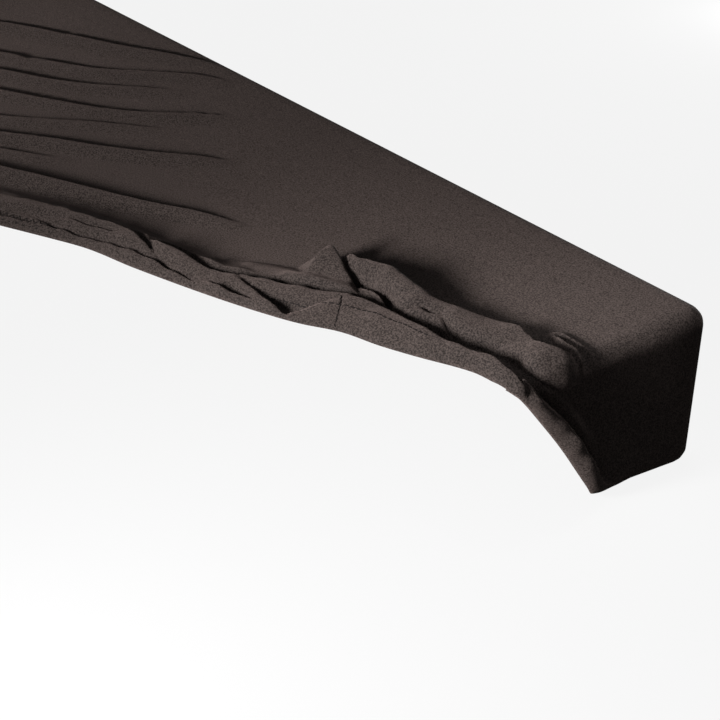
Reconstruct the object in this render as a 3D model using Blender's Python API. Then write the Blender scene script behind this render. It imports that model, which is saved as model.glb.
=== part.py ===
"""Fitted dust cover of stretch knit, pulled back at the right front.

One cloth, stretched over a long flat body: +X along the length, -Y to the front, +Z up. The
origin lies under the top cloth, in the middle of the length and of the depth. Sizes are in
millimetres until a point goes into the mesh.

The cloth is a sheet of sections. Each section starts at the hem, runs up the wall where there is
one, and ends at a spine line along the middle of the top. Folds are rows in a table, placed by
where their section meets the hem and by how far from the hem they lie.
"""
from collections import namedtuple

import bmesh
import bpy
import numpy as np

MM = 0.001

# The body that the cloth is stretched over, to the outside of the cloth
HALF_LENGTH = 535.5
FRONT_Y = -171.5
BACK_Y = 169.5
BOTTOM_Z = -87.6
CORNER_RADIUS = 15.0
EDGE_RADIUS = 10.0
THICKNESS = 1.2

# The hem lies under the body, this far in from the walls, and cuts the corners in an arc
TUCK = 20.0
HEM_CORNER_RADIUS = 32.0

# Height of the top along the depth: it dips to the front and rises to the back
Top = namedtuple("Top", "y z")
TOP = [
    Top(-171.5, -8.0),
    Top(-158.0, -6.0),
    Top(-122.0, 0.6),
    Top(-100.0, 1.4),
    Top(14.0, 2.0),
    Top(50.0, 2.8),
    Top(140.0, 11.8),
    Top(156.0, 12.8),
    Top(169.5, 11.2),
]

# The hem where it is pulled back, from the front left to the right end. x and y are laid flat:
# past the right end or the front edge they are the way down that wall.
Hem = namedtuple("Hem", "x y")
HEM = [
    Hem(-110.0, -271.0),
    Hem(-70.0, -264.0),
    Hem(-20.0, -232.0),
    Hem(84.0, -171.5),
    Hem(140.0, -144.0),
    Hem(196.4, -117.5),
    Hem(228.2, -101.6),
    Hem(253.2, -89.9),
    Hem(296.2, -78.0),
    Hem(319.9, -70.6),
    Hem(367.8, -53.8),
    Hem(390.2, -44.7),
    Hem(413.9, -33.0),
    Hem(430.2, -21.7),
    Hem(460.0, -10.7),
    Hem(477.2, -3.0),
    Hem(509.8, 12.7),
    Hem(535.5, 18.5),
    Hem(554.0, 33.6),
    Hem(583.9, 57.2),
    Hem(616.2, 79.2),
    Hem(638.0, 94.0),
    Hem(650.0, 112.0),
]

# Where the sections on the right end cross its top edge, by where they start on the hem
END_HEM_Y = [18.5, 87.0, 112.0]
END_EDGE_Y = [18.5, 90.0, 102.0]

# The spine that all sections run to
SPINE_Y = 91.5
SPINE_HALF = 485.0
SPINE_GAP = 6.0
SECTION_LEAN = 0.46

# The casing of the hem: how wide it lies and how far it stands up, by hem place
Casing = namedtuple("Casing", "x width rise")
CASING = [
    Casing(-110.0, 16.0, 1.0),
    Casing(84.0, 12.0, 5.0),
    Casing(200.0, 8.0, 6.5),
    Casing(300.0, 8.0, 6.5),
    Casing(350.0, 10.0, 4.5),
    Casing(390.0, 12.0, 4.0),
    Casing(420.0, 24.0, 10.5),
    Casing(445.0, 24.0, 10.0),
    Casing(482.0, 19.0, 8.5),
    Casing(512.0, 15.0, 8.0),
    Casing(540.0, 12.0, 7.5),
    Casing(585.0, 14.0, 6.0),
    Casing(620.0, 16.0, 3.0),
    Casing(650.0, 18.0, 1.0),
]

CASING_BACK = 0.45

# Folds are held down this near to the hem
HEM_STIFF = 7.0

# Folds of the bunched cloth. from_x, mid_x and to_x are hem places, and the offsets beside them
# are the crest's distance from the hem. near and far are the widths of the slope towards the hem
# and of the slope behind the crest. lean pulls the crest towards the hem, so that it rolls over.
Fold = namedtuple("Fold", "name from_x from_off mid_x mid_off to_x to_off rise near far fade lean")
FOLDS = [
    Fold("front gather", -60, 26, 60, 22, 190, 20, 8.0, 9, 12, 70, 0.0),
    Fold("front swell", -40, 42, 90, 36, 240, 34, 9.0, 11, 30, 80, 0.0),
    Fold("left gather", 170, 18, 262, 17, 318, 15, 8.5, 7, 8, 40, 1.0),
    Fold("left swell", 150, 32, 250, 28, 350, 38, 9.0, 8, 30, 60, 0.5),
    Fold("low ridge", 286, 21, 335, 11, 386, 6, 7.0, 6, 7, 20, 0.5),
    Fold("middle ridge", 318, 25, 365, 21, 410, 9, 8.0, 7, 8, 20, 0.5),
    Fold("high ridge", 330, 29, 380, 30, 420, 22, 9.0, 8, 8, 20, 0.5),
    Fold("flap foot", 345, 56, 378, 60, 412, 60, 6.0, 18, 26, 20, 0.0),
    Fold("flap ridge", 388, 86, 402, 72, 416, 55, 9.0, 16, 12, 14, 0.0),
    Fold("inner fold", 412, 60, 432, 50, 450, 42, 8.0, 6, 6, 10, 0.0),
    Fold("big roll", 402, 66, 505, 36, 574, 44, 13.0, 13, 32, 18, 4.0),
    Fold("roll foot", 446, 47, 480, 37, 522, 31, 9.0, 9, 9, 18, 2.0),
    Fold("end gather", 566, 22, 590, 26, 625, 30, 2.5, 7, 8, 20, 0.0),
]

# How a fold's section falls off on its sharp side and on its soft side
SHARP_FALL = 0.9
SOFT_FALL = 1.7

# Long tension folds on the flat top: plan places of both ends, depth and half width
Pull = namedtuple("Pull", "from_x from_y to_x to_y depth width")
PULLS = [
    Pull(20, -132, 269, 26, 2.4, 8.0),
    Pull(-60, -150, 166, 68, 1.0, 6.0),
    Pull(-190, -120, 100, 120, 1.2, 6.0),
    Pull(-260, -95, 21, 104, 1.2, 6.0),
    Pull(-340, -100, 42, 151, 1.2, 6.0),
    Pull(-400, -60, -8, 157, 1.8, 8.0),
]

# Shares of a tension fold's length over which it fades in and out
PULL_FADE_IN = 0.25
PULL_FADE_OUT = 0.35

# Mesh: the plain wall sections keep these distances from the pulled-back ones
END_CLEARANCE = 8.0
FRONT_CLEARANCE = 20.0
SPINE_SPREAD = 0.02
MERGE_DISTANCE = 0.02
PULLED_STATIONS = 150
WALL_STEP = 22.0
CORNER_STATIONS = 6
RINGS = 62
RING_GRADE = 1.25
KEPT_SHARE = 0.14


def curve(x, xs, ys):
    """Smooth curve through a table, level past both ends."""
    xs = np.asarray(xs, float)
    ys = np.asarray(ys, float)
    slopes = np.gradient(ys, xs)
    x = np.clip(x, xs[0], xs[-1])
    i = np.clip(np.searchsorted(xs, x) - 1, 0, len(xs) - 2)
    span = xs[i + 1] - xs[i]
    t = (x - xs[i]) / span
    rise = (2 * t**3 - 3 * t**2 + 1) * ys[i] + (3 * t**2 - 2 * t**3) * ys[i + 1]
    return rise + span * ((t**3 - 2 * t**2 + t) * slopes[i] + (t**3 - t**2) * slopes[i + 1])


def smooth(t):
    """Soft step from 0 to 1."""
    t = np.clip(t, 0.0, 1.0)
    return t * t * (3 - 2 * t)


def bump(t):
    """Hump of height 1 at 0. It starts with a sharp crease at -1 and ends softly at 1."""
    return np.clip(1 - t * t, 0.0, 1.0) ** np.where(t < 0, SHARP_FALL, SOFT_FALL)


def top_height(y):
    return curve(y, [row.y for row in TOP], [row.z for row in TOP])


def outline(point):
    """Nearest point of the rounded outline, its outward direction, and the distance inside it."""
    centre = np.array([0.0, (FRONT_Y + BACK_Y) / 2])
    inner = np.array([HALF_LENGTH, (BACK_Y - FRONT_Y) / 2]) - CORNER_RADIUS
    local = point - centre
    core = np.clip(local, -inner, inner)
    away = local - core
    length = np.linalg.norm(away, axis=-1, keepdims=True)
    safe = np.where(length > 1e-9, length, 1.0)
    direction = np.where(length > 1e-9, away / safe, 0.0)
    edge = centre + core + direction * CORNER_RADIUS
    return edge, direction, (CORNER_RADIUS - length)[..., 0]


def hem_line(edge):
    """Where the hem lies under the body, for a place on the outline."""
    centre = np.array([0.0, (FRONT_Y + BACK_Y) / 2])
    half = np.array([HALF_LENGTH, (BACK_Y - FRONT_Y) / 2])
    inner = half - TUCK - HEM_CORNER_RADIUS
    local = edge - centre
    core = np.clip(local, -inner, inner)
    away = local - core
    length = np.maximum(np.linalg.norm(away, axis=-1, keepdims=True), 1e-9)
    return centre + core + away / length * HEM_CORNER_RADIUS


def drape(edge, direction, down, plan):
    """Surface points and normals. down is the way past the top edge, and is negative on the top."""
    height = top_height(edge[..., 1]) - BOTTOM_Z
    r = EDGE_RADIUS
    upper = (np.clip(down, -r, r) + r) / (2 * r) * np.pi / 2
    lower = (np.clip(down - height, -r, r) + r) / (2 * r) * np.pi / 2
    out = np.where(down < 0.5 * height, r * np.sin(upper) - r, r * np.cos(lower) - r)
    drop = np.where(down < 0.5 * height, r - r * np.cos(upper), height - r + r * np.sin(lower))
    middle = (down >= r) & (down <= height - r)
    drop = np.where(middle, down, drop)
    flat = down <= -r
    place = np.where(flat[..., None], plan, edge + direction * out[..., None])
    tucked = np.clip((down - height - r) / (TUCK - r), 0.0, 1.0)[..., None]
    place = place + (hem_line(edge) - place) * tucked
    z = np.where(flat, top_height(plan[..., 1]), top_height(place[..., 1]) - drop)
    z = np.where(down > 0.5 * height, BOTTOM_Z + height - drop, z)
    lean_out = np.where(down < 0.5 * height, np.sin(upper), np.cos(lower))
    lean_up = np.where(down < 0.5 * height, np.cos(upper), -np.sin(lower))
    points = np.concatenate([place, z[..., None]], axis=-1)
    normals = np.concatenate([direction * lean_out[..., None], lean_up[..., None]], axis=-1)
    normals[flat] = (0.0, 0.0, 1.0)
    return points, normals / np.linalg.norm(normals, axis=-1, keepdims=True)


def on_top(plan):
    """Drape inputs for points that lie on the top, in plan."""
    edge, direction, inside = outline(plan)
    return edge, direction, -inside


def pulled_sections(count, ring_shares):
    """Sections that start on the pulled-back hem. Returns drape inputs and fold places."""
    hem_x = np.linspace(HEM[0].x, HEM[-1].x, count)
    hem_y = curve(hem_x, [row.x for row in HEM], [row.y for row in HEM])
    start = np.stack([hem_x, hem_y], axis=-1)
    edge_y = np.where(hem_x > HALF_LENGTH, np.interp(hem_y, END_HEM_Y, END_EDGE_Y), hem_y)
    turn = np.stack([np.minimum(hem_x, HALF_LENGTH), np.maximum(edge_y, FRONT_Y)], axis=-1)
    lean = SECTION_LEAN * smooth((hem_x - HEM[0].x) / (HEM[3].x - HEM[0].x))
    spine_x = turn[:, 0] - lean * (SPINE_Y - turn[:, 1])
    limit = SPINE_HALF - SPINE_SPREAD * (HEM[-1].x - hem_x)
    spine_x = np.minimum(spine_x, limit)
    end = np.stack([spine_x, np.full(count, SPINE_Y - SPINE_GAP)], axis=-1)
    on_wall = np.linalg.norm(start - turn, axis=-1)[:, None]
    across = np.linalg.norm(end - turn, axis=-1)[:, None]
    offset = ring_shares[None, :] * (on_wall + across)
    wall_share = np.clip(offset / np.maximum(on_wall, 1e-6), 0.0, 1.0)[..., None]
    top_share = np.clip((offset - on_wall) / across, 0.0, 1.0)[..., None]
    flat = start[:, None] + (turn - start)[:, None] * wall_share + (end - turn)[:, None] * top_share
    edge, direction, down = on_top(flat)
    past_end = flat[..., 0] > HALF_LENGTH - EDGE_RADIUS
    past_front = flat[..., 1] < FRONT_Y + EDGE_RADIUS
    down = np.where(past_end, flat[..., 0] - HALF_LENGTH, down)
    down = np.where(past_front, FRONT_Y - flat[..., 1], down)
    end_edge = np.stack([np.full_like(down, HALF_LENGTH), flat[..., 1]], axis=-1)
    front_edge = np.stack([flat[..., 0], np.full_like(down, FRONT_Y)], axis=-1)
    edge = np.where(past_end[..., None], end_edge, edge)
    edge = np.where(past_front[..., None], front_edge, edge)
    direction = np.where(past_end[..., None], [1.0, 0.0], direction)
    direction = np.where(past_front[..., None], [0.0, -1.0], direction)
    return edge, direction, down, flat, np.broadcast_to(hem_x[:, None], offset.shape), offset


def wall_places():
    """Starts of the plain wall sections, round the outline from the right end to the front."""
    x, back, front, r = HALF_LENGTH, BACK_Y, FRONT_Y, CORNER_RADIUS

    def run(start, end):
        steps = max(2, int(abs(np.subtract(end, start)).sum() / WALL_STEP))
        share = np.linspace(0, 1, steps + 1)[:, None]
        return list(np.array(start) + (np.array(end) - np.array(start)) * share)

    def turn(centre, first_angle):
        angles = np.radians(first_angle + np.linspace(0, 90, CORNER_STATIONS)[1:-1])
        return [np.array(centre) + r * np.array([np.cos(a), np.sin(a)]) for a in angles]

    places = run((x, HEM[-1].y + END_CLEARANCE), (x, back - r)) + turn((x - r, back - r), 0)
    places += run((x - r, back), (r - x, back)) + turn((r - x, back - r), 90)
    places += run((-x, back - r), (-x, front + r)) + turn((r - x, front + r), 180)
    places += run((r - x, front), (HEM[0].x - FRONT_CLEARANCE, front))
    return np.array(places)


def wall_sections(ring_shares):
    """Sections that start under the body and run up a plain wall."""
    place = wall_places()
    edge, direction, _ = outline(place)
    on_front = (edge[:, 1] < FRONT_Y + 1.0)[:, None]
    on_back = (edge[:, 1] > BACK_Y - 1.0)[:, None]
    first_spine = HEM[0].x
    front_x = np.interp(edge[:, 0], [-HALF_LENGTH, first_spine], [-SPINE_HALF, first_spine])
    back_x = edge[:, 0] * SPINE_HALF / HALF_LENGTH
    end_x = np.sign(edge[:, 0]) * SPINE_HALF
    spine_x = np.where(on_front[:, 0], front_x, np.where(on_back[:, 0], back_x, end_x))
    spine_y = SPINE_Y + SPINE_GAP * np.where(on_back[:, 0], 1.0, np.where(on_front[:, 0], -1.0, 0.0))
    end = np.stack([spine_x, spine_y], axis=-1)
    on_wall = (top_height(edge[:, 1]) - BOTTOM_Z + TUCK)[:, None]
    across = np.linalg.norm(end - edge, axis=-1)[:, None]
    offset = ring_shares[None, :] * (on_wall + across)
    top_share = np.clip((offset - on_wall) / across, 0.0, 1.0)[..., None]
    plan = edge[:, None] + (end - edge)[:, None] * top_share
    near, away, down = on_top(plan)
    still_wall = (offset < on_wall)[..., None]
    near = np.where(still_wall, edge[:, None], near)
    away = np.where(still_wall, direction[:, None], away)
    down = np.where(still_wall[..., 0], on_wall - offset, down)
    return near, away, down, plan, offset


def casing_height(hem_x, offset):
    """The hem casing: it stands up from its edge and falls away behind."""
    xs = [row.x for row in CASING]
    width = curve(hem_x, xs, [row.width for row in CASING])
    rise = curve(hem_x, xs, [row.rise for row in CASING])
    front = np.sin(np.clip(offset / width, 0.0, 1.0) * np.pi / 2)
    back = 1 - smooth((offset - width) / (CASING_BACK * width))
    return rise * np.where(offset < width, front, back)


def fold_height(fold, hem_x, offset):
    """Height of one fold, and how far its crest leans towards the hem."""
    xs = [fold.from_x, fold.mid_x, fold.to_x]
    crest = curve(hem_x, xs, [fold.from_off, fold.mid_off, fold.to_off])
    away = offset - crest
    shape = bump(away / np.where(away < 0, fold.near, fold.far)) * smooth(offset / HEM_STIFF)
    held = smooth((hem_x - fold.from_x + fold.fade) / fold.fade)
    held = held * smooth((fold.to_x + fold.fade - hem_x) / fold.fade)
    return fold.rise * shape * held, fold.lean * np.sqrt(shape * held)


def pull_depth(points):
    """Shallow tension folds across the flat top."""
    depth = np.zeros(points.shape[:-1])
    for pull in PULLS:
        start = np.array([pull.from_x, pull.from_y])
        along = np.array([pull.to_x, pull.to_y]) - start
        length = np.linalg.norm(along)
        along = along / length
        rel = points[..., :2] - start
        travel = rel @ along
        aside = rel[..., 0] * along[1] - rel[..., 1] * along[0]
        fade = smooth(travel / (PULL_FADE_IN * length))
        fade = fade * smooth((length - travel) / (PULL_FADE_OUT * length))
        depth += pull.depth * fade * bump(np.abs(aside) / pull.width)
    return depth


def bunch(points, normals, hem_x, offset):
    """Raise the casing and the folds from the smooth surface."""
    height = casing_height(hem_x, offset)
    lean = np.zeros_like(height)
    for fold in FOLDS:
        rise, push = fold_height(fold, hem_x, offset)
        lean = np.where(rise > height, push, lean)
        height = np.maximum(height, rise)
    back = -np.gradient(points, axis=1)
    back = back / np.maximum(np.linalg.norm(back, axis=-1, keepdims=True), 1e-9)
    return points + normals * height[..., None] + back * lean[..., None]


def stitch(faces, first, second, first_x, second_x):
    """Triangles between two rows of vertices that both run along X."""
    i, j = 0, 0
    while i < len(first) - 1 or j < len(second) - 1:
        take_first = j == len(second) - 1 or (
            i < len(first) - 1 and first_x[i + 1] <= second_x[j + 1])
        if take_first:
            faces.append((first[i], first[i + 1], second[j]))
            i += 1
        else:
            faces.append((first[i], second[j + 1], second[j]))
            j += 1


def cover_mesh():
    """The outer surface of the cloth as one open sheet."""
    shares = np.linspace(0.0, 1.0, RINGS) ** RING_GRADE
    *pulled, hem_x, offset = pulled_sections(PULLED_STATIONS, shares)
    points, normals = drape(*pulled)
    points = bunch(points, normals, hem_x, offset)
    *plain, _ = wall_sections(shares)
    wall_points, _ = drape(*plain)
    grid = np.concatenate([points, wall_points], axis=0)
    grid[..., 2] -= pull_depth(grid) * (np.abs(grid[..., 1]) < BACK_Y)
    count = len(grid)
    mesh = bpy.data.meshes.new("cover_cloth")
    verts = [tuple(p * MM) for p in grid.reshape(-1, 3)]
    faces = []
    for i in range(count):
        nxt = (i + 1) % count
        for j in range(RINGS - 1):
            a, b = i * RINGS + j, nxt * RINGS + j
            faces.append((a, b, b + 1, a + 1))
    last = grid[:, -1]
    front = [i for i in range(count) if last[i, 1] < SPINE_Y]
    back = [i for i in range(count) if last[i, 1] >= SPINE_Y]
    front.sort(key=lambda i: last[i, 0])
    back.sort(key=lambda i: last[i, 0])
    rows = [[i * RINGS + RINGS - 1 for i in side] for side in (front, back)]
    stitch(faces, *rows, last[front, 0], last[back, 0])
    mesh.from_pydata(verts, [], faces)
    bm = bmesh.new()
    bm.from_mesh(mesh)
    bmesh.ops.remove_doubles(bm, verts=bm.verts, dist=MERGE_DISTANCE * MM)
    bmesh.ops.recalc_face_normals(bm, faces=bm.faces)
    bm.to_mesh(mesh)
    bm.free()
    return mesh


def knit_material():
    material = bpy.data.materials.new("charcoal_knit")
    material.use_nodes = True
    shader = material.node_tree.nodes["Principled BSDF"]
    shader.inputs["Base Color"].default_value = (0.058, 0.043, 0.038, 1.0)
    shader.inputs["Roughness"].default_value = 0.85
    shader.inputs["Metallic"].default_value = 0.0
    return material


def build():
    for old in list(bpy.data.objects):
        bpy.data.objects.remove(old)
    mesh = cover_mesh()
    mesh.materials.append(knit_material())
    mesh.shade_smooth()
    cloth = bpy.data.objects.new("cover_cloth", mesh)
    bpy.context.scene.collection.objects.link(cloth)
    thin = cloth.modifiers.new("fewer faces", "DECIMATE")
    thin.ratio = KEPT_SHARE
    solid = cloth.modifiers.new("cloth thickness", "SOLIDIFY")
    solid.thickness = THICKNESS * MM
    solid.offset = -1.0


build()
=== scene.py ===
"""Looks of a fitted dust cover of stretch knit, pulled back at the right front.

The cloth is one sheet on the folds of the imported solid, with its finer folds, creases, seam and
stitches added here. +X runs along the length, -Y to the front, +Z up. Shapes are worked out in
millimetres and go into Blender in metres.
"""
from collections import namedtuple

import bmesh
import bpy
import numpy as np
from mathutils import Matrix, Vector, noise


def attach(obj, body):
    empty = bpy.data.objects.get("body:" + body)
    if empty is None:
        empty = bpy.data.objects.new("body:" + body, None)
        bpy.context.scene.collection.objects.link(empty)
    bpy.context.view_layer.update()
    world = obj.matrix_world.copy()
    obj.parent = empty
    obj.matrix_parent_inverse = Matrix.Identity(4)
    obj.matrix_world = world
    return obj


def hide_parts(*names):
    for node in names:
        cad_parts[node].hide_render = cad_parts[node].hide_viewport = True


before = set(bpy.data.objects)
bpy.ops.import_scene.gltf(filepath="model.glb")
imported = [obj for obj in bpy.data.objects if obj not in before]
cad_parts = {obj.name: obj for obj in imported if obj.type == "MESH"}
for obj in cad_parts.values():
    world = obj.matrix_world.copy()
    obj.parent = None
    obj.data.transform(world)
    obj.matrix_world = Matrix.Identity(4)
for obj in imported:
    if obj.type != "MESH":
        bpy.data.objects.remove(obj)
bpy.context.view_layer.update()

MM = 0.001

# A length below this counts as nothing
TINY = 1e-9

# The body that the cloth is stretched over, to the outside of the cloth
HALF_LENGTH = 535.5
FRONT_Y = -171.5
BACK_Y = 169.5
BOTTOM_Z = -87.6
CORNER_RADIUS = 15.0
EDGE_RADIUS = 10.0
THICKNESS = 1.1
TUCK = 20.0
HEM_CORNER_RADIUS = 32.0

# A point this near to a face of the body counts as on it
ON_FACE = 1.0

# The height of the flat top from front to back
Top = namedtuple("Top", "y z")
TOP = [
    Top(-171.5, -8.0),
    Top(-158.0, -6.0),
    Top(-122.0, 0.6),
    Top(-100.0, 1.4),
    Top(14.0, 2.0),
    Top(50.0, 2.8),
    Top(140.0, 11.8),
    Top(156.0, 12.8),
    Top(169.5, 11.2),
]

# The hem where it is pulled back, laid flat: past the right end or the front edge x and y are
# the way down that wall
Hem = namedtuple("Hem", "x y")
HEM = [
    Hem(-110.0, -271.0),
    Hem(-70.0, -264.0),
    Hem(-20.0, -232.0),
    Hem(84.0, -171.5),
    Hem(140.0, -144.0),
    Hem(196.4, -117.5),
    Hem(228.2, -101.6),
    Hem(253.2, -89.9),
    Hem(296.2, -78.0),
    Hem(319.9, -70.6),
    Hem(367.8, -53.8),
    Hem(390.2, -44.7),
    Hem(413.9, -33.0),
    Hem(430.2, -21.7),
    Hem(460.0, -10.7),
    Hem(477.2, -3.0),
    Hem(509.8, 12.7),
    Hem(535.5, 18.5),
    Hem(554.0, 33.6),
    Hem(583.9, 57.2),
    Hem(616.2, 79.2),
    Hem(638.0, 94.0),
    Hem(650.0, 112.0),
]
HEM_FIRST_X = HEM[0].x
HEM_LAST = HEM[-1]
HEM_ON_TOP_X = next(row.x for row in HEM if row.y >= FRONT_Y)

# Where the sections that start from the hem on the right end cross that end's upper edge
Crossing = namedtuple("Crossing", "hem_y edge_y")
END_CROSSINGS = [
    Crossing(18.5, 18.5),
    Crossing(87.0, 90.0),
    Crossing(112.0, 102.0),
]

# All sections run to the spine, a line along the top, and those from the front and the back stop
# SPINE_GAP short of it. Those of the pulled-back hem lean to the left, their ends a little apart.
SPINE_Y = 91.5
SPINE_HALF = 485.0
SPINE_GAP = 2.0
SPINE_SPREAD = 0.02
SECTION_LEAN = 0.46

# The casing of the hem, by hem place: how far from the edge its crest lies and how high it stands
Casing = namedtuple("Casing", "x width rise")
CASING = [
    Casing(-110.0, 16.0, 1.0),
    Casing(60.0, 9.0, 4.0),
    Casing(190.0, 6.0, 6.0),
    Casing(235.0, 5.0, 6.5),
    Casing(305.0, 6.5, 6.5),
    Casing(350.0, 4.5, 5.0),
    Casing(385.0, 4.0, 3.5),
    Casing(406.0, 6.0, 4.0),
    Casing(421.0, 27.0, 9.0),
    Casing(436.0, 29.0, 10.0),
    Casing(451.0, 27.0, 10.5),
    Casing(466.0, 21.5, 10.5),
    Casing(487.0, 14.0, 10.0),
    Casing(503.0, 9.5, 9.5),
    Casing(523.0, 10.0, 9.0),
    Casing(540.0, 9.0, 8.0),
    Casing(556.0, 12.0, 8.0),
    Casing(585.0, 17.0, 9.0),
    Casing(620.0, 18.0, 7.5),
    Casing(650.0, 18.0, 2.0),
]

# The width of the fall behind the casing's crest, how far its edge turns under, and the power that
# rounds its front
CASING_BACK = 3.5
CASING_TUCK = 2.5
CASING_ROUND = 0.8

# Folds of the bunched cloth. The crest's path has places along the hem (x), its distance from
# the hem (away) and its height there. near and far are the widths of the slope towards the hem and
# of the slope behind, and belly is how far the near slope bulges over its own foot. back is the
# shape behind the crest. A fold with on_end lies on the right end, and the others fade out there.
ROUND = 2.0
STRAIGHT = 1.0
Fold = namedtuple("Fold", "name x away height near far belly back on_end", defaults=[ROUND, False])
FOLDS = [
    Fold(
        "left gather", near=22, far=28, belly=0.5, back=STRAIGHT,
        x=(-60, 60, 150, 209, 238, 262, 290, 310, 328, 342, 356, 372, 390),
        away=(36, 30, 26, 25, 22, 20.5, 21, 21.5, 21, 23, 28, 33, 36),
        height=(0, 5, 9, 11, 12, 12.5, 12.5, 12, 11, 9.5, 8, 6, 0),
    ),
    Fold(
        "bright ridge", near=6, far=3, belly=1.0,
        x=(292, 304, 325, 345, 362, 390, 412),
        away=(24, 20, 14, 7.5, 5, 5, 3),
        height=(0, 9.5, 9.5, 8, 6.5, 5, 0),
    ),
    Fold(
        "small ridge", near=7, far=2.5, belly=0.8,
        x=(350, 362, 374, 386, 398, 412),
        away=(24, 20, 16, 9, 5, 2),
        height=(0, 7.5, 8, 7.5, 5.5, 0),
    ),
    Fold(
        "stitched ridge", near=15, far=3, belly=1.0,
        x=(334, 344, 356, 370, 391, 413, 426, 438),
        away=(14, 15, 21, 26, 29, 32, 33.5, 31),
        height=(0, 7, 8, 8.5, 8.5, 9, 9, 0),
    ),
    Fold(
        "flap", near=4, far=26, belly=0.0,
        x=(340, 352, 368, 386, 404, 420, 432),
        away=(34, 34, 38, 40, 41, 41, 38),
        height=(0, 4, 5, 8.5, 11, 9, 0),
    ),
    Fold(
        "pyramid", near=30, far=5, belly=0.0,
        x=(374, 385, 393, 400, 409, 419, 427),
        away=(68, 71, 71, 68, 62, 54, 46),
        height=(0, 10, 19, 17, 13, 9, 0),
    ),
    Fold(
        "inner fold", near=6, far=3, belly=0.0,
        x=(416, 424, 434, 444, 454, 464),
        away=(64, 54, 43, 35, 31, 30),
        height=(0, 9, 9, 8.5, 8, 0),
    ),
    Fold(
        "roll start", near=5, far=9, belly=2.0,
        x=(386, 394, 402, 412, 425, 438, 452),
        away=(80, 73.5, 68.5, 64.5, 60.5, 57, 53),
        height=(0, 15, 18, 19.5, 19.5, 18, 0),
    ),
    Fold(
        "roll lip", near=10, far=10, belly=4.0,
        x=(420, 430, 440, 452, 462, 474),
        away=(62, 58.5, 55.5, 52, 50, 48),
        height=(0, 18.5, 18, 15.5, 13.5, 0),
    ),
    Fold(
        "big roll", near=19, far=8, belly=3.0,
        x=(438, 450, 466, 485, 505, 530, 552, 568, 580, 590, 598),
        away=(56, 52.5, 49.5, 47.5, 46, 45, 44, 46, 49, 55, 64),
        height=(0, 13.5, 12.5, 11, 10.5, 10.5, 11, 11, 10.5, 7, 0),
    ),
    Fold(
        "twist front", near=4.5, far=4.0, belly=0.0,
        x=(568, 578, 586, 593, 598, 602, 605),
        away=(84, 78, 71.5, 65.5, 59, 50, 38),
        height=(0, 3, 6, 7.5, 7.5, 5, 0),
    ),
    Fold(
        "twist back", near=4.0, far=4.0, belly=0.0,
        x=(552, 566, 582, 598, 607, 612, 615),
        away=(66, 75, 84, 90, 83, 75, 68),
        height=(0, 0.8, 2.2, 3.2, 3.4, 2, 0),
    ),
    Fold(
        "end gather", near=7, far=8, belly=0.0, on_end=True,
        x=(550, 572, 600, 632),
        away=(22, 24, 27, 30),
        height=(0, 2.5, 2.5, 0),
    ),
]

# The powers that shape a fold's slopes, the width of the hem that stays free of folds, the height
# from which a belly is whole, and the width over which folds fade out at the right end
NEAR_FALL = 0.8
FAR_FALL = 1.1
HEM_STIFF = 4.0
BELLY_RISE = 12.0
END_FADE = 10.0

# The hem runs aslant, so the way along it is longer than the way along X
HEM_SLOPE = 1.1

# Folds on the top rise straight up: how much of their lean along X is left there, and the upward
# tilts between which a face goes from wall to top
TOP_BULGE = 0.3
WALL_TILT = 0.1
TOP_TILT = 0.6

# Small swells that make the folds uneven, at full size where these stand UNEVEN_FROM high
UNEVEN_SIZE = 14.0
UNEVEN_HEIGHT = 1.6
UNEVEN_FROM = 8.0

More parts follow.
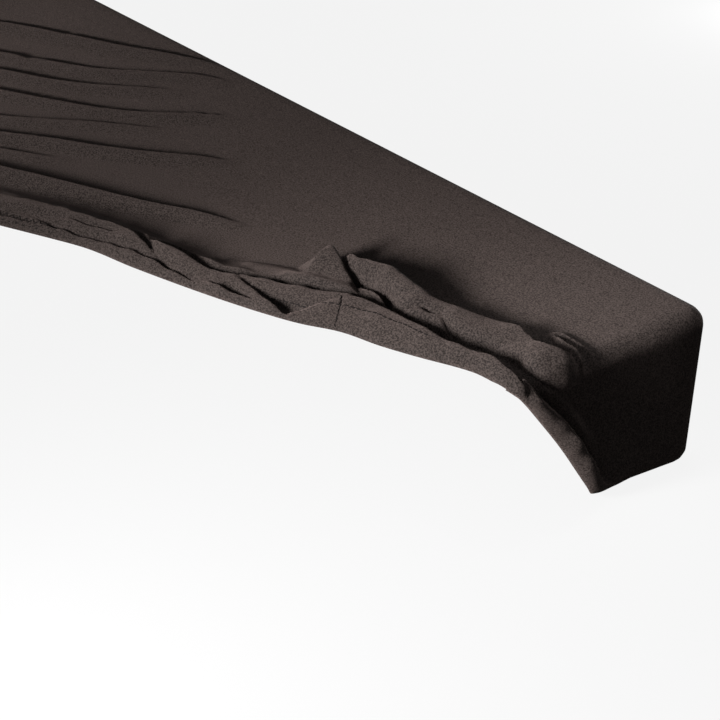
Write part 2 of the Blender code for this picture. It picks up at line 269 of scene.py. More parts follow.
# Narrow creases in the bunched cloth, on paths like those of the folds. A power above 1 makes a
# crease sharp at its bottom.
Crease = namedtuple("Crease", "name x away depth width")
CREASES = [
    Crease(
        "casing line", width=3.8,
        x=(190, 214, 233, 250, 266, 282, 303, 320, 340, 358),
        away=(16, 13, 9.5, 7.5, 8.5, 9.5, 11, 9.5, 7, 3),
        depth=(0, 4, 6, 6.5, 6.5, 6.5, 6, 5.5, 4, 0),
    ),
    Crease(
        "upper line", width=2.4,
        x=(195, 225, 246, 263, 280),
        away=(16, 16, 15.5, 16, 19),
        depth=(0, 3, 3.5, 3.5, 0),
    ),
    Crease(
        "wedge", width=4.0,
        x=(270, 283, 299, 312, 326),
        away=(28, 25, 18, 12, 8),
        depth=(0, 6, 6.5, 5, 0),
    ),
    Crease(
        "hollow", width=4.8,
        x=(288, 299, 312, 324, 335, 345, 356, 370, 391, 413, 428, 440, 455),
        away=(29, 28, 28, 26, 23, 23, 27, 32, 34.5, 37, 37, 33, 31),
        depth=(0, 7, 8.5, 8.5, 8, 8, 7, 7, 9, 9, 7, 5, 0),
    ),
    Crease(
        "small line", width=2.2,
        x=(358, 366, 376, 388, 399, 410),
        away=(24, 21, 17, 11, 6, 2),
        depth=(0, 3, 3.5, 3.5, 2.5, 0),
    ),
    Crease(
        "pocket end", width=3.0,
        x=(390, 396, 402, 410, 420, 426),
        away=(84, 75, 69.5, 63, 56.5, 53),
        depth=(0, 9, 12, 14, 12, 0),
    ),
    Crease(
        "pocket", width=6.0,
        x=(408, 418, 430, 441, 449, 457),
        away=(65, 58, 50.5, 43, 37, 33),
        depth=(0, 15, 19, 18, 12, 0),
    ),
    Crease(
        "flap edge", width=3.0,
        x=(334, 345, 360, 376, 386),
        away=(50, 55, 62, 72, 80),
        depth=(0, 2, 2.5, 2.5, 0),
    ),
    Crease(
        "flap seam", width=2.5,
        x=(415, 418, 423, 427),
        away=(58, 52, 44, 38),
        depth=(0, 3, 3, 0),
    ),
    Crease(
        "diagonal", width=3.0,
        x=(472, 480, 488, 494, 500),
        away=(46, 38, 30, 25, 20),
        depth=(0, 4.5, 4.5, 3, 0),
    ),
    Crease(
        "arc", width=2.8,
        x=(448, 454, 462, 471, 478),
        away=(36, 39, 43, 43, 48),
        depth=(0, 4, 4, 4, 0),
    ),
    Crease(
        "corner seam", width=2.0,
        x=(419, 421, 425, 428, 430),
        away=(34, 29, 18, 8, 1),
        depth=(0, 1.2, 1.2, 1.2, 0),
    ),
    Crease(
        "end arc", width=2.5,
        x=(527, 536, 545, 554),
        away=(64, 70, 71, 68),
        depth=(0, 1.6, 1.6, 0),
    ),
]
CREASE_SHARP = 1.3

# Rows of stitches on the bunched cloth. A row with a swing zigzags, the others are dashes.
Seam = namedtuple("Seam", "name x away step swing")
SEAMS = [
    Seam(
        "hem stitching", step=3.4, swing=0.0,
        x=(388, 402, 430, 460, 482),
        away=(16, 18, 19, 17, 11),
    ),
    Seam(
        "corner seam", step=2.6, swing=0.9,
        x=(420, 421, 425, 428, 430),
        away=(33, 29, 18, 8, 2),
    ),
    Seam(
        "lower overlock", step=2.4, swing=1.5,
        x=(150, 200, 240),
        away=(4.5, 4, 2.5),
    ),
    Seam(
        "upper overlock", step=2.4, swing=1.5,
        x=(150, 200, 236),
        away=(9, 8.5, 6.5),
    ),
]

# A stitch: its share of the step in a row of dashes, and its width, its height and how deep it sits
DASH_SHARE = 0.68
THREAD_WIDTH = 0.55
THREAD_HEIGHT = 0.35
THREAD_SUNK = 0.25
BAR_FACES = ((0, 1, 2, 3), (7, 6, 5, 4), (0, 4, 5, 1), (1, 5, 6, 2), (2, 6, 7, 3), (3, 7, 4, 0))

# Tension folds on the flat top: x and y of each crest in plan, and its height there. The slope
# towards the front is gentle and the one behind is steep.
Pull = namedtuple("Pull", "name x y height")
PULLS = [
    Pull(
        "first",
        x=(-320, -219, -139, -85, -49, -12, 20),
        y=(5, 64, 96, 116, 134, 150, 160),
        height=(0, 5.0, 5.0, 4.6, 3.8, 2.4, 0),
    ),
    Pull(
        "second",
        x=(-250, -142, -97, -53, -20, 13, 46),
        y=(-40, 30, 54, 77, 104, 131, 148),
        height=(0, 4.4, 4.4, 4.4, 3.8, 2.6, 0),
    ),
    Pull(
        "third",
        x=(-210, -98, -55, -20, 10, 34),
        y=(-62, 11, 34, 60, 88, 110),
        height=(0, 4.6, 4.6, 4.2, 3.0, 0),
    ),
    Pull(
        "fourth",
        x=(-170, -50, -9, 29, 59, 85, 110),
        y=(-74, -10, 13, 36, 62, 90, 114),
        height=(0, 4.6, 4.6, 4.6, 4.4, 3.4, 0),
    ),
    Pull(
        "fifth",
        x=(-80, 4, 54, 109),
        y=(-75, -34, 23, 76),
        height=(0, 3.4, 3.0, 0),
    ),
    Pull(
        "sixth",
        x=(-50, 44, 73, 105, 132, 156, 179),
        y=(-100, -51, -26, -2, 23, 50, 69),
        height=(0, 5.8, 5.8, 5.4, 4.6, 3.2, 0),
    ),
    Pull(
        "seventh",
        x=(20, 70, 113),
        y=(-88, -63, -25),
        height=(0, 3.2, 0),
    ),
    Pull(
        "front",
        x=(30, 70, 112, 150, 186, 218, 246, 277),
        y=(-122, -101, -81, -61, -42, -23, -1, 17),
        height=(0, 6.0, 7.2, 7.2, 6.6, 5.6, 3.8, 0),
    ),
]

# The widths of their front and back slopes
PULL_NEAR = 17.0
PULL_FAR = 6.0

# Mesh: the sections that start on the pulled-back hem
Stations = namedtuple("Stations", "first last count")
HEM_STATIONS = [
    Stations(-110.0, 150.0, 60),
    Stations(150.0, 330.0, 72),
    Stations(330.0, 600.0, 132),
    Stations(600.0, 650.0, 18),
]

# Mesh: the sections of the plain walls, closer together beside the tension folds and the hem
END_CLEARANCE = 8.0
FRONT_CLEARANCE = 20.0
WALL_STEP = 20.0
FRONT_STEP = 5.0
FRONT_FINE_X = -260.0
BACK_STEP = 6.5
BACK_FINE_X = (120.0, -240.0)
CORNER_STATIONS = 6

# Mesh: the rings along the sections, close together within FINE_REACH of a bunched hem, or within
# FINE_SHARE of a short section
RINGS = 108
FINE_RINGS = 57
FINE_REACH = 98.0
FINE_SHARE = 0.62

# Mesh: the points on each smooth path, and the distance within which vertices are merged
PATH_POINTS = 28
MERGE_WITHIN = 0.02

# Knit and thread: settings on the shaders, then the knit's heather and its fine relief
KNIT = {
    "Roughness": 0.88,
    "Diffuse Roughness": 1.0,
    "Metallic": 0.0,
    "Specular IOR Level": 0.2,
    "Sheen Weight": 0.08,
    "Sheen Roughness": 0.5,
    "Sheen Tint": (0.9, 0.66, 0.6, 1.0),
}
THREAD = {
    "Base Color": (0.017, 0.0135, 0.0125, 1.0),
    "Roughness": 0.8,
    "Specular IOR Level": 0.2,
}
HEATHER = {"Scale": 1050.0, "Detail": 2.0, "Roughness": 0.6}
Shade = namedtuple("Shade", "position color")
HEATHER_SHADES = [
    Shade(0.36, (0.018, 0.0135, 0.012, 1.0)),
    Shade(0.64, (0.094, 0.073, 0.066, 1.0)),
]
RELIEF = {"Strength": 0.5, "Distance": 0.0004}

# Camera: its own right, up and back directions, its place in metres, and its lens in millimetres
CAMERA_RIGHT = (0.568467, 0.822089, 0.031866)
CAMERA_UP = (-0.390618, 0.235615, 0.88989)
CAMERA_BACK = (0.72406, -0.51832, 0.455062)
CAMERA_PLACE = (1.096558, -0.479589, 0.398258)
SENSOR_WIDTH = 36.0
FOCAL_LENGTH = 80.98
CLIP_START = 0.01

# Lamps: round soft lights, with places and sizes in metres, power in watts and spread in degrees.
# The end and back lights stay below the top and light only the walls.
Lamp = namedtuple("Lamp", "name place aim size power spread", defaults=[180.0])
LAMPS = [
    Lamp("key", (0.52, -0.45, 0.158), (0.66, 0.12, 0.0), 0.13, 3.15, 142.0),
    Lamp("fill", (0.30, -0.80, 0.22), (-0.20, 0.02, 0.0), 0.08, 0.42, 48.0),
    Lamp("top light", (0.49, 0.14, 0.5), (0.51, 0.13, 0.0), 0.1, 0.03, 30.0),
    Lamp("end light", (-1.3, -0.1, -0.03), (-0.5, 0.0, -0.04), 0.1, 1.6),
    Lamp("back light", (-0.1, 1.1, -0.03), (0.0, 0.1, -0.04), 0.1, 3.0),
]

# Floor and surroundings: greys, each from 0 to 1, and how much of the floor's own shading shows
FLOOR_SIZE = 14.0
FLOOR_GAP = 1.5
FLOOR_GLOW = 0.95
FLOOR_LIT = 0.85
FLOOR_SHADING = 0.07
FLOOR_BOUNCE = 0.12
WORLD_AMBIENT = 0.08
WORLD_BACKDROP = 0.9


def curve(x, xs, ys):
    """Smooth curve through a table, level past both ends."""
    xs = np.asarray(xs, float)
    ys = np.asarray(ys, float)
    slopes = np.gradient(ys, xs)
    x = np.clip(x, xs[0], xs[-1])
    i = np.clip(np.searchsorted(xs, x) - 1, 0, len(xs) - 2)
    span = xs[i + 1] - xs[i]
    t = (x - xs[i]) / span
    rise = (2 * t**3 - 3 * t**2 + 1) * ys[i] + (3 * t**2 - 2 * t**3) * ys[i + 1]
    return rise + span * ((t**3 - 2 * t**2 + t) * slopes[i] + (t**3 - t**2) * slopes[i + 1])


def column(table, name):
    """One named column of a table."""
    return [getattr(row, name) for row in table]


def smooth(t):
    """Soft step from 0 to 1."""
    t = np.clip(t, 0.0, 1.0)
    return t * t * (3 - 2 * t)


def unit(vectors):
    """Vectors at length 1."""
    return vectors / np.maximum(np.linalg.norm(vectors, axis=-1, keepdims=True), TINY)


def travelled(points):
    """The way along a row of points at each of them."""
    steps = np.linalg.norm(np.diff(points, axis=0), axis=-1)
    return np.concatenate([[0.0], np.cumsum(steps)])


def bump(t, back):
    """Hump of height 1 at 0. It rises sharply from -1 and runs out more softly at 1."""
    fall = np.abs(t) ** np.where(t < 0, ROUND, back)
    return np.clip(1 - fall, 0.0, 1.0) ** np.where(t < 0, NEAR_FALL, FAR_FALL)


def top_height(y):
    """Height of the flat top."""
    return curve(y, column(TOP, "y"), column(TOP, "z"))


def outline(point):
    """Nearest point of the rounded outline, its outward direction, and the distance inside it."""
    centre = np.array([0.0, (FRONT_Y + BACK_Y) / 2])
    inner = np.array([HALF_LENGTH, (BACK_Y - FRONT_Y) / 2]) - CORNER_RADIUS
    local = point - centre
    core = np.clip(local, -inner, inner)
    away = local - core
    length = np.linalg.norm(away, axis=-1, keepdims=True)
    safe = np.where(length > TINY, length, 1.0)
    direction = np.where(length > TINY, away / safe, 0.0)
    edge = centre + core + direction * CORNER_RADIUS
    return edge, direction, (CORNER_RADIUS - length)[..., 0]


def hem_line(edge):
    """Where the hem lies under the body, for a place on the outline."""
    centre = np.array([0.0, (FRONT_Y + BACK_Y) / 2])
    half = np.array([HALF_LENGTH, (BACK_Y - FRONT_Y) / 2])
    inner = half - TUCK - HEM_CORNER_RADIUS
    local = edge - centre
    core = np.clip(local, -inner, inner)
    return centre + core + unit(local - core) * HEM_CORNER_RADIUS


def drape(edge, direction, down, plan):
    """Surface points and normals. down is the way past the top edge, and is negative on the top."""
    height = top_height(edge[..., 1]) - BOTTOM_Z
    r = EDGE_RADIUS
    upper = (np.clip(down, -r, r) + r) / (2 * r) * np.pi / 2
    lower = (np.clip(down - height, -r, r) + r) / (2 * r) * np.pi / 2
    upper_half = down < 0.5 * height
    out = np.where(upper_half, r * np.sin(upper) - r, r * np.cos(lower) - r)
    drop = np.where(upper_half, r - r * np.cos(upper), height - r + r * np.sin(lower))
    middle = (down >= r) & (down <= height - r)
    drop = np.where(middle, down, drop)
    flat = down <= -r
    place = np.where(flat[..., None], plan, edge + direction * out[..., None])
    tucked = np.clip((down - height - r) / (TUCK - r), 0.0, 1.0)[..., None]
    place = place + (hem_line(edge) - place) * tucked
    z = np.where(flat, top_height(plan[..., 1]), top_height(place[..., 1]) - drop)
    z = np.where(down > 0.5 * height, BOTTOM_Z + height - drop, z)
    lean_out = np.where(upper_half, np.sin(upper), np.cos(lower))
    lean_up = np.where(upper_half, np.cos(upper), -np.sin(lower))
    points = np.concatenate([place, z[..., None]], axis=-1)
    normals = np.concatenate([direction * lean_out[..., None], lean_up[..., None]], axis=-1)
    normals[flat] = (0.0, 0.0, 1.0)
    return points, normals / np.linalg.norm(normals, axis=-1, keepdims=True)


def on_top(plan):
    """Drape inputs for points that lie on the top, in plan."""
    edge, direction, inside = outline(plan)
    return edge, direction, -inside


def ring_places(total, bunched):
    """Ways of the rings from the start of each section, close together where it is bunched."""
    fine = np.minimum(FINE_REACH, FINE_SHARE * total)
    near = np.linspace(0.0, 1.0, FINE_RINGS, endpoint=False)
    far = np.linspace(0.0, 1.0, RINGS - FINE_RINGS)
    close = np.concatenate([fine * near, fine + (total - fine) * far], axis=1)
    even = total * np.linspace(0.0, 1.0, RINGS)
    return even + (close - even) * bunched


def hem_places():
    """Hem places of the sections that start on the pulled-back hem."""
    runs = [np.linspace(*run, endpoint=False) for run in HEM_STATIONS]
    return np.concatenate(runs + [[HEM_LAST.x]])


def pulled_back(hem_x):
    """From 0 where the hem leaves the underside to 1 where it comes onto the top."""
    return smooth((hem_x - HEM_FIRST_X) / (HEM_ON_TOP_X - HEM_FIRST_X))


def section_ends(hem_x):
    """Each pulled-back section in plan: its start on the hem, its turn at the edge and its end."""
    hem_y = curve(hem_x, column(HEM, "x"), column(HEM, "y"))
    start = np.stack([hem_x, hem_y], axis=-1)
    crossing = np.interp(hem_y, column(END_CROSSINGS, "hem_y"), column(END_CROSSINGS, "edge_y"))
    edge_y = np.where(hem_x > HALF_LENGTH, crossing, hem_y)
    turn = np.stack([np.minimum(hem_x, HALF_LENGTH), np.maximum(edge_y, FRONT_Y)], axis=-1)
    lean = SECTION_LEAN * pulled_back(hem_x)
    spine_x = turn[:, 0] - lean * (SPINE_Y - turn[:, 1])
    spine_x = np.minimum(spine_x, SPINE_HALF - SPINE_SPREAD * (HEM_LAST.x - hem_x))
    end = np.stack([spine_x, np.full(len(hem_x), SPINE_Y - SPINE_GAP)], axis=-1)
    return start, turn, end


def pulled_sections():
    """Sections that start on the pulled-back hem. Returns drape inputs and fold places."""
    hem_x = hem_places()
    start, turn, end = section_ends(hem_x)
    on_wall = np.linalg.norm(start - turn, axis=-1)[:, None]
    across = np.linalg.norm(end - turn, axis=-1)[:, None]
    offset = ring_places(on_wall + across, pulled_back(hem_x)[:, None])
    wall_share = np.clip(offset / np.maximum(on_wall, TINY), 0.0, 1.0)[..., None]
    top_share = np.clip((offset - on_wall) / across, 0.0, 1.0)[..., None]
    flat = start[:, None] + (turn - start)[:, None] * wall_share + (end - turn)[:, None] * top_share
    edge, direction, down = on_top(flat)
    past_end = flat[..., 0] > HALF_LENGTH - EDGE_RADIUS
    past_front = flat[..., 1] < FRONT_Y + EDGE_RADIUS
    down = np.where(past_end, flat[..., 0] - HALF_LENGTH, down)
    down = np.where(past_front, FRONT_Y - flat[..., 1], down)
    end_edge = np.stack([np.full_like(down, HALF_LENGTH), flat[..., 1]], axis=-1)
    front_edge = np.stack([flat[..., 0], np.full_like(down, FRONT_Y)], axis=-1)
    edge = np.where(past_end[..., None], end_edge, edge)
    edge = np.where(past_front[..., None], front_edge, edge)
    direction = np.where(past_end[..., None], [1.0, 0.0], direction)
    direction = np.where(past_front[..., None], [0.0, -1.0], direction)
    return edge, direction, down, flat, np.broadcast_to(hem_x[:, None], offset.shape), offset


def wall_places():
    """Starts of the plain wall sections, round the outline from the right end to the front."""
    x, back, front, r = HALF_LENGTH, BACK_Y, FRONT_Y, CORNER_RADIUS
    fine_first, fine_last = BACK_FINE_X

    def run(start, end, step=WALL_STEP):
        steps = max(2, int(abs(np.subtract(end, start)).sum() / step))
        share = np.linspace(0, 1, steps + 1)[:, None]
        return list(np.array(start) + (np.array(end) - np.array(start)) * share)

    def turn(centre, first_angle):
        angles = np.radians(first_angle + np.linspace(0, 90, CORNER_STATIONS)[1:-1])
        return [np.array(centre) + r * np.array([np.cos(a), np.sin(a)]) for a in angles]

    places = run((x, HEM_LAST.y + END_CLEARANCE), (x, back - r))
    places += turn((x - r, back - r), 0)
    places += run((x - r, back), (fine_first, back))[:-1]
    places += run((fine_first, back), (fine_last, back), BACK_STEP)[:-1]
    places += run((fine_last, back), (r - x, back))
    places += turn((r - x, back - r), 90)
    places += run((-x, back - r), (-x, front + r))
    places += turn((r - x, front + r), 180)
    places += run((r - x, front), (FRONT_FINE_X, front))[:-1]
    places += run((FRONT_FINE_X, front), (HEM_FIRST_X - FRONT_CLEARANCE, front), FRONT_STEP)
    return np.array(places)


def wall_sections():
    """Sections that start under the body and run up a plain wall, as drape inputs."""
    edge, direction, _ = outline(wall_places())
    on_front = edge[:, 1] < FRONT_Y + ON_FACE
    on_back = edge[:, 1] > BACK_Y - ON_FACE
    front_x = np.interp(edge[:, 0], [-HALF_LENGTH, HEM_FIRST_X], [-SPINE_HALF, HEM_FIRST_X])
    back_x = edge[:, 0] * SPINE_HALF / HALF_LENGTH
    end_x = np.sign(edge[:, 0]) * SPINE_HALF
    spine_x = np.where(on_front, front_x, np.where(on_back, back_x, end_x))
    spine_y = SPINE_Y + SPINE_GAP * np.where(on_back, 1.0, np.where(on_front, -1.0, 0.0))
    end = np.stack([spine_x, spine_y], axis=-1)
    on_wall = (top_height(edge[:, 1]) - BOTTOM_Z + TUCK)[:, None]
    across = np.linalg.norm(end - edge, axis=-1)[:, None]
    offset = ring_places(on_wall + across, 0.0)
    top_share = np.clip((offset - on_wall) / across, 0.0, 1.0)[..., None]
    plan = edge[:, None] + (end - edge)[:, None] * top_share
    near, away, down = on_top(plan)
    still_wall = offset < on_wall
    near = np.where(still_wall[..., None], edge[:, None], near)
    away = np.where(still_wall[..., None], direction[:, None], away)
    down = np.where(still_wall, on_wall - offset, down)
    return near, away, down, plan


def path_places(columns, spots, along_scale=1.0):
    """Signed distance of spots from a smooth path (left is positive), and the path's height there."""
    given = np.column_stack(columns).astype(float)
    given[:, 0] *= along_scale
    marks = travelled(given[:, :2])
    fine = np.linspace(0.0, marks[-1], PATH_POINTS)
    line = np.stack([curve(fine, marks, given[:, k]) for k in range(3)], axis=-1)
    spots = spots * (along_scale, 1.0)
    best = np.full(spots.shape[:-1], np.inf)
    aside = np.zeros_like(best)
    height = np.zeros_like(best)
    for first, second in zip(line[:-1], line[1:]):
        way = second[:2] - first[:2]
        size = np.linalg.norm(way)
        way = way / size
        rel = spots - first[:2]
        held = np.clip(rel @ way, 0.0, size)
        side = rel[..., 1] * way[0] - rel[..., 0] * way[1]
        reach = np.hypot(rel @ way - held, side)
        nearer = reach < best
        best = np.where(nearer, reach, best)
        aside = np.where(nearer, np.where(side < 0, -reach, reach), aside)
        height = np.where(nearer, first[2] + (second[2] - first[2]) * held / size, height)
    return aside, height


def casing_height(hem_x, offset):
    """The hem casing: it stands up from its edge and falls away behind its crest."""
    width = curve(hem_x, column(CASING, "x"), column(CASING, "width"))
    rise = curve(hem_x, column(CASING, "x"), column(CASING, "rise"))
    front = np.sin(np.clip(offset / width, 0.0, 1.0) * np.pi / 2) ** CASING_ROUND
    back = 1 - smooth((offset - width) / CASING_BACK)
    return rise * np.where(offset < width, front, back)


def fold_height(fold, spots):
    """Height of one fold, and how far its near slope bulges towards the hem."""
    aside, rise = path_places((fold.x, fold.away, fold.height), spots, HEM_SLOPE)
    shape = bump(aside / np.where(aside < 0, fold.near, fold.far), fold.back)
    shape = shape * smooth(spots[..., 1] / HEM_STIFF)
    push = fold.belly * np.sin(np.pi * np.clip(-aside / fold.near, 0.0, 1.0))
    return rise * shape, push * smooth(rise / BELLY_RISE)


def crease_depth(crease, spots):
    """Depth of one crease, which is narrow and sharp at its bottom."""
    aside, depth = path_places((crease.x, crease.away, crease.depth), spots, HEM_SLOPE)
    return depth * np.clip(1 - np.abs(aside) / crease.width, 0.0, 1.0) ** CREASE_SHARP


def pull_height(points):
    """Long low folds across the flat top, gentle in front and steep behind."""
    height = np.zeros(points.shape[:-1])
    for pull in PULLS:
        aside, rise = path_places((pull.x, pull.y, pull.height), points[..., :2])
        shape = np.where(aside < 0, 1 - smooth(-aside / PULL_NEAR), 1 - smooth(aside / PULL_FAR))
        height = np.maximum(height, rise * shape)
    return height


def uneven(points):
    """Small swells that make the bunched cloth uneven."""
    flat = points.reshape(-1, 3) / UNEVEN_SIZE
    swells = [noise.noise(Vector(place)) for place in flat]
    return np.array(swells).reshape(points.shape[:-1]) * UNEVEN_HEIGHT


def bunch(points, normals, hem_x, offset):
    """Raise the casing and the folds from the smooth surface."""
    casing = casing_height(hem_x, offset)
    height = casing
    push = -CASING_TUCK * (1 - smooth(offset / CASING_TUCK))
    spots = np.stack([hem_x, offset], axis=-1)
    on_wall = np.maximum(hem_x - HALF_LENGTH, 0.0)
    clear = np.where(on_wall > 0, smooth((offset - on_wall + END_FADE) / END_FADE), 1.0)
    for fold in FOLDS:
        rise, belly = fold_height(fold, spots)
        if not fold.on_end:
            rise = rise * clear
        push = np.where(rise > height, belly, push)
        height = np.maximum(height, rise)
    for crease in CREASES:
        height = height - crease_depth(crease, spots)
    height = np.maximum(height + uneven(points) * smooth(height / UNEVEN_FROM), 0.0)
    back = unit(-np.gradient(points, axis=1))
    upward = smooth((normals[..., 2] - WALL_TILT) / (TOP_TILT - WALL_TILT)) * (height > casing)
    raised = normals.copy()
    raised[..., 0] *= 1 - (1 - TOP_BULGE) * upward
    raised[..., 2] = np.maximum(raised[..., 2], upward)
    return points + raised * height[..., None] + back * push[..., None]


def bridge(faces, first, second, first_x, second_x):
    """Triangles between two rows of vertices that both run along X."""
    i, j = 0, 0
    while i < len(first) - 1 or j < len(second) - 1:
        second_done = j == len(second) - 1
        if second_done or (i < len(first) - 1 and first_x[i + 1] <= second_x[j + 1]):
            faces.append((first[i], first[i + 1], second[j]))
            i += 1
        else:
            faces.append((first[i], second[j + 1], second[j]))
            j += 1


def bunched_sheet():
    """The pulled-back part of the cloth, with the places of its points along and across the hem."""
    *pulled, hem_x, offset = pulled_sections()
    points, normals = drape(*pulled)
    return bunch(points, normals, hem_x, offset), hem_x[:, 0], offset


def grid_faces(grid):
    """Quads between neighbouring sections, and the triangles that close the spine."""
    count = len(grid)
    faces = []
    for i in range(count):
        following = (i + 1) % count
        for j in range(RINGS - 1):
            a, b = i * RINGS + j, following * RINGS + j
            faces.append((a, b, b + 1, a + 1))
    last = grid[:, -1]
    by_x = sorted(range(count), key=lambda i: last[i, 0])
    front = [i for i in by_x if last[i, 1] < SPINE_Y]
    back = [i for i in by_x if last[i, 1] >= SPINE_Y]
    rows = [[i * RINGS + RINGS - 1 for i in side] for side in (front, back)]
    bridge(faces, *rows, last[front, 0], last[back, 0])
    return faces


def cover_mesh(points):
    """The outer surface of the cloth as one open sheet."""
    wall_points, _ = drape(*wall_sections())
    grid = np.concatenate([points, wall_points], axis=0)
    grid[..., 2] += pull_height(grid) * (grid[..., 2] > top_height(grid[..., 1]) - ON_FACE)
    mesh = bpy.data.meshes.new("cover_knit")
    mesh.from_pydata([tuple(place * MM) for place in grid.reshape(-1, 3)], [], grid_faces(grid))
    bm = bmesh.new()
    bm.from_mesh(mesh)
    bmesh.ops.remove_doubles(bm, verts=bm.verts, dist=MERGE_WITHIN * MM)
    bmesh.ops.recalc_face_normals(bm, faces=bm.faces)
    bm.to_mesh(mesh)
    bm.free()
    mesh.shade_smooth()
    return mesh


def sheet_point(points, hem_x, offset, place):
    """The point of the cloth at a hem place and a way from the hem."""
    i = int(np.clip(np.searchsorted(hem_x, place[0]) - 1, 0, len(hem_x) - 2))
    share = (place[0] - hem_x[i]) / (hem_x[i + 1] - hem_x[i])
    ends = [np.array([np.interp(place[1], offset[k], points[k, :, axis]) for axis in range(3)])
            for k in (i, i + 1)]
    return ends[0] + (ends[1] - ends[0]) * share


def thread_places(seam):
    """Both ends of every stitch in a row, as places along and across the hem."""
    path = np.column_stack([seam.x, seam.away]).astype(float)
    marks = travelled(path)
    count = int(marks[-1] / seam.step)
    at = np.linspace(0.0, marks[-1], count + 1)
    line = np.stack([np.interp(at, marks, path[:, k]) for k in (0, 1)], axis=1)
    side = np.array([0.0, seam.swing])
    if seam.swing:
        return [(line[k] + side * (-1) ** k, line[k + 1] - side * (-1) ** k) for k in range(count)]
    return [(line[k], line[k] + (line[k + 1] - line[k]) * DASH_SHARE) for k in range(count)]


def thread_bar(cloth_places, start, end):
    """Corners of one stitch, a small bar pressed into the cloth."""
    first = sheet_point(*cloth_places, start)
    second = sheet_point(*cloth_places, end)
    beside = sheet_point(*cloth_places, start + (0.0, 1.0))
    along = second - first
    up = unit(np.cross(along, beside - first))
    up = up * np.where(up[2] < 0, -1.0, 1.0)
    side = unit(np.cross(up, along)) * THREAD_WIDTH / 2
    corners = ((-1, -THREAD_SUNK), (1, -THREAD_SUNK), (1, THREAD_HEIGHT), (-1, THREAD_HEIGHT))
    return [tuple((spot + side * across + up * rise) * MM)
            for spot in (first, second) for across, rise in corners]


def stitches(cloth_places):
    """One object with all the rows of stitches."""
    verts = []
    faces = []
    for seam in SEAMS:
        for start, end in thread_places(seam):
            faces += [tuple(len(verts) + k for k in face) for face in BAR_FACES]
            verts += thread_bar(cloth_places, start, end)
    mesh = bpy.data.meshes.new("hem_stitches")
    mesh.from_pydata(verts, [], faces)
    mesh.materials.append(thread_material())
    piece = bpy.data.objects.new("hem_stitches", mesh)
    bpy.context.scene.collection.objects.link(piece)
    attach(piece, "root")


def settings(node, values):
    """Set a node's inputs by name."""
    for name, value in values.items():
        node.inputs[name].default_value = value


def knit_material():
    """Charcoal stretch knit: two close browns in a fine heather, matt with a little sheen."""
    material = bpy.data.materials.new("charcoal_knit")
    material.use_nodes = True
    nodes = material.node_tree.nodes
    links = material.node_tree.links
    shader = nodes["Principled BSDF"]
    settings(shader, KNIT)
    place = nodes.new("ShaderNodeTexCoord")
    heather = nodes.new("ShaderNodeTexNoise")
    settings(heather, HEATHER)
    ramp = nodes.new("ShaderNodeValToRGB")
    for element, shade in zip(ramp.color_ramp.elements, HEATHER_SHADES):
        element.position = shade.position
        element.color = shade.color
    relief = nodes.new("ShaderNodeBump")
    settings(relief, RELIEF)
    links.new(place.outputs["Object"], heather.inputs["Vector"])
    links.new(heather.outputs["Fac"], ramp.inputs["Fac"])
    links.new(ramp.outputs["Color"], shader.inputs["Base Color"])
    links.new(heather.outputs["Fac"], relief.inputs["Height"])
    links.new(relief.outputs["Normal"], shader.inputs["Normal"])
    return material


def thread_material():
    """Matt sewing thread, darker than the cloth."""
    material = bpy.data.materials.new("dark_thread")
    material.use_nodes = True
    settings(material.node_tree.nodes["Principled BSDF"], THREAD)
    return material


def cover():
    """The cloth with its thickness, and the stitches on it."""
    cloth_places = bunched_sheet()
    mesh = cover_mesh(cloth_places[0])
    mesh.materials.append(knit_material())
    cloth = bpy.data.objects.new("cover_knit", mesh)
    bpy.context.scene.collection.objects.link(cloth)
    solid = cloth.modifiers.new("cloth thickness", "SOLIDIFY")
    solid.thickness = THICKNESS * MM
    solid.offset = -1.0
    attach(cloth, "root")
    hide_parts("cover_cloth")
    stitches(cloth_places)


def camera():
    """The photograph's own view."""
    lens = bpy.data.cameras.new("photo_camera")
    lens.sensor_width = SENSOR_WIDTH
    lens.lens = FOCAL_LENGTH
    lens.clip_start = CLIP_START
    view = bpy.data.objects.new("photo_camera", lens)
    turned = Matrix((CAMERA_RIGHT, CAMERA_UP, CAMERA_BACK)).transposed().to_4x4()
    view.matrix_world = Matrix.Translation(CAMERA_PLACE) @ turned
    bpy.context.scene.collection.objects.link(view)
    bpy.context.scene.camera = view


def lamp(row):
    """One round soft light, turned to its aim."""
    data = bpy.data.lights.new(row.name, "AREA")
    data.shape = "DISK"
    data.size = row.size
    data.energy = row.power
    data.spread = np.radians(row.spread)
    light = bpy.data.objects.new(row.name, data)
    light.location = row.place
    light.rotation_euler = (Vector(row.aim) - Vector(row.place)).to_track_quat("-Z", "Y").to_euler()
    bpy.context.scene.collection.objects.link(light)


def grey(value):
    """A grey as a colour."""
    return (value, value, value, 1.0)


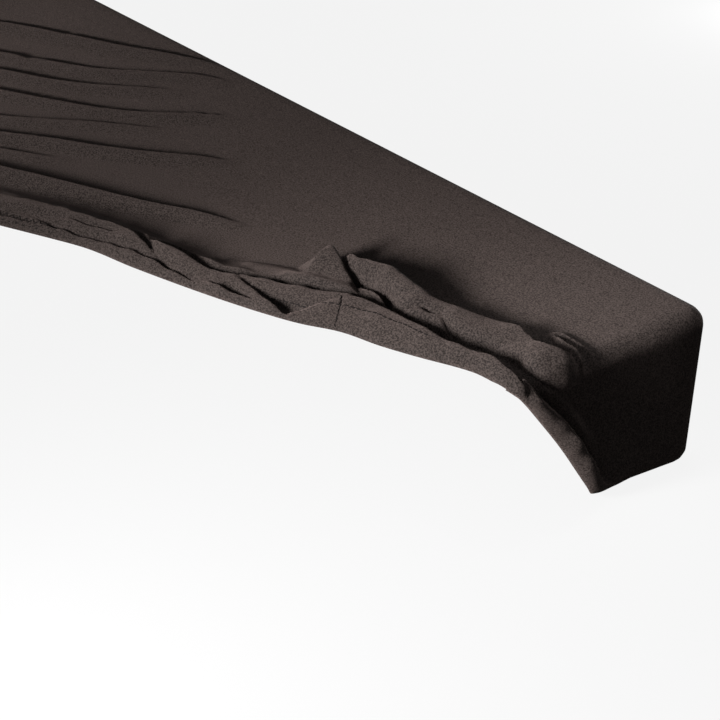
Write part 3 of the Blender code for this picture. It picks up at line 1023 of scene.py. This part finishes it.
def seen_and_lighting(tree, seen, lighting, output):
    """One shader is seen directly, and the other lights the scene."""
    path = tree.nodes.new("ShaderNodeLightPath")
    mix = tree.nodes.new("ShaderNodeMixShader")
    tree.links.new(path.outputs["Is Camera Ray"], mix.inputs["Fac"])
    tree.links.new(lighting, mix.inputs[1])
    tree.links.new(seen, mix.inputs[2])
    tree.links.new(mix.outputs["Shader"], output.inputs["Surface"])


def studio_floor():
    """A plain pale floor, which throws little light back at the cloth."""
    bpy.ops.mesh.primitive_plane_add(size=FLOOR_SIZE, location=(0.0, 0.0, (BOTTOM_Z - FLOOR_GAP) * MM))
    floor = bpy.context.object
    floor.name = "studio_floor"
    paint = bpy.data.materials.new("pale_floor")
    paint.use_nodes = True
    tree = paint.node_tree
    tree.nodes.clear()
    glow = tree.nodes.new("ShaderNodeEmission")
    lit = tree.nodes.new("ShaderNodeBsdfDiffuse")
    bounce = tree.nodes.new("ShaderNodeBsdfDiffuse")
    pale = tree.nodes.new("ShaderNodeMixShader")
    output = tree.nodes.new("ShaderNodeOutputMaterial")
    settings(glow, {"Color": grey(FLOOR_GLOW)})
    settings(lit, {"Color": grey(FLOOR_LIT)})
    settings(bounce, {"Color": grey(FLOOR_BOUNCE)})
    settings(pale, {"Fac": FLOOR_SHADING})
    tree.links.new(glow.outputs["Emission"], pale.inputs[1])
    tree.links.new(lit.outputs["BSDF"], pale.inputs[2])
    seen_and_lighting(tree, pale.outputs["Shader"], bounce.outputs["BSDF"], output)
    floor.data.materials.append(paint)


def surroundings():
    """A pale backdrop, and a dim even light from all sides."""
    world = bpy.data.worlds.new("studio")
    bpy.context.scene.world = world
    world.use_nodes = True
    tree = world.node_tree
    ambient = tree.nodes["Background"]
    backdrop = tree.nodes.new("ShaderNodeBackground")
    settings(ambient, {"Color": grey(1.0), "Strength": WORLD_AMBIENT})
    settings(backdrop, {"Color": grey(1.0), "Strength": WORLD_BACKDROP})
    output = tree.nodes["World Output"]
    seen_and_lighting(tree, backdrop.outputs["Background"], ambient.outputs["Background"], output)


def studio():
    """Floor, backdrop, a low soft key light from the right front, and four weaker lights."""
    studio_floor()
    surroundings()
    for row in LAMPS:
        lamp(row)
    bpy.context.scene.view_settings.view_transform = "Standard"


camera()
cover()
studio()
